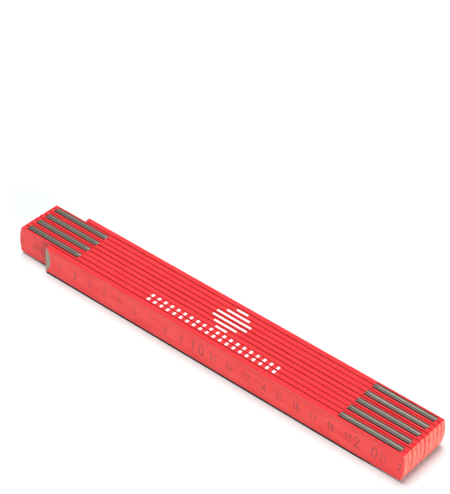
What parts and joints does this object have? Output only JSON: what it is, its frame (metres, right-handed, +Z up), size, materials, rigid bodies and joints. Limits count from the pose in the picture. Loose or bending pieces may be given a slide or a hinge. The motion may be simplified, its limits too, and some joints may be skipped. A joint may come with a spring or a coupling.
{
  "type": "folding rule",
  "caption": "Wooden folding rule with concealed steel pivot joints, shown folded flat and standing on its long edges.",
  "frame": {"origin": "middle of the surface that the folded rule stands on", "axes": "+X along the links towards the odd-numbered joints, +Y through the stack of links away from link 1, +Z up across the links' width"},
  "size_m": [0.243, 0.0326, 0.0155],
  "materials": {
    "red_lacquered_wood": "thin red gloss lacquer over straight-grained hardwood, with a faded dark printed scale",
    "plate_steel": "bare cold-rolled strip, drawn marks along its length, satin",
    "rivet_steel": "upset steel, satin",
    "cap_steel": "bent strip, satin"
  },
  "bodies": {
    "segment_01": {"link_01": "red_lacquered_wood", "joint_1_near_plate": "plate_steel", "joint_1_rivet": "rivet_steel", "end_cap_01": "cap_steel"},
    "segment_02": {"link_02": "red_lacquered_wood", "joint_1_far_plate": "plate_steel", "joint_2_near_plate": "plate_steel", "joint_2_rivet": "rivet_steel"},
    "segment_03": {"link_03": "red_lacquered_wood", "joint_2_far_plate": "plate_steel", "joint_3_near_plate": "plate_steel", "joint_3_rivet": "rivet_steel"},
    "segment_04": {"link_04": "red_lacquered_wood", "joint_3_far_plate": "plate_steel", "joint_4_near_plate": "plate_steel", "joint_4_rivet": "rivet_steel"},
    "segment_05": {"link_05": "red_lacquered_wood", "joint_4_far_plate": "plate_steel", "joint_5_near_plate": "plate_steel", "joint_5_rivet": "rivet_steel"},
    "segment_06": {"link_06": "red_lacquered_wood", "joint_5_far_plate": "plate_steel", "joint_6_near_plate": "plate_steel", "joint_6_rivet": "rivet_steel"},
    "segment_07": {"link_07": "red_lacquered_wood", "joint_6_far_plate": "plate_steel", "joint_7_near_plate": "plate_steel", "joint_7_rivet": "rivet_steel"},
    "segment_08": {"link_08": "red_lacquered_wood", "joint_7_far_plate": "plate_steel", "joint_8_near_plate": "plate_steel", "joint_8_rivet": "rivet_steel"},
    "segment_09": {"link_09": "red_lacquered_wood", "joint_8_far_plate": "plate_steel", "joint_9_near_plate": "plate_steel", "joint_9_rivet": "rivet_steel"},
    "segment_10": {"link_10": "red_lacquered_wood", "joint_9_far_plate": "plate_steel", "end_cap_10": "cap_steel"}
  },
  "joints": [
    {"name": "joint_1", "type": "hinge", "parent": "segment_01", "child": "segment_02", "pos_m": [0.1, -0.0132, 0.00775], "axis": [0, 1, 0], "range_deg": [-180, 180]},
    {"name": "joint_2", "type": "hinge", "parent": "segment_02", "child": "segment_03", "pos_m": [-0.1, -0.0099, 0.00775], "axis": [0, -1, 0], "range_deg": [-180, 180]},
    {"name": "joint_3", "type": "hinge", "parent": "segment_03", "child": "segment_04", "pos_m": [0.1, -0.0066, 0.00775], "axis": [0, 1, 0], "range_deg": [-180, 180]},
    {"name": "joint_4", "type": "hinge", "parent": "segment_04", "child": "segment_05", "pos_m": [-0.1, -0.0033, 0.00775], "axis": [0, -1, 0], "range_deg": [-180, 180]},
    {"name": "joint_5", "type": "hinge", "parent": "segment_05", "child": "segment_06", "pos_m": [0.1, 0, 0.00775], "axis": [0, 1, 0], "range_deg": [-180, 180]},
    {"name": "joint_6", "type": "hinge", "parent": "segment_06", "child": "segment_07", "pos_m": [-0.1, 0.0033, 0.00775], "axis": [0, -1, 0], "range_deg": [-180, 180]},
    {"name": "joint_7", "type": "hinge", "parent": "segment_07", "child": "segment_08", "pos_m": [0.1, 0.0066, 0.00775], "axis": [0, 1, 0], "range_deg": [-180, 180]},
    {"name": "joint_8", "type": "hinge", "parent": "segment_08", "child": "segment_09", "pos_m": [-0.1, 0.0099, 0.00775], "axis": [0, -1, 0], "range_deg": [-180, 180]},
    {"name": "joint_9", "type": "hinge", "parent": "segment_09", "child": "segment_10", "pos_m": [0.1, 0.0132, 0.00775], "axis": [0, 1, 0], "range_deg": [-180, 180]}
  ]
}
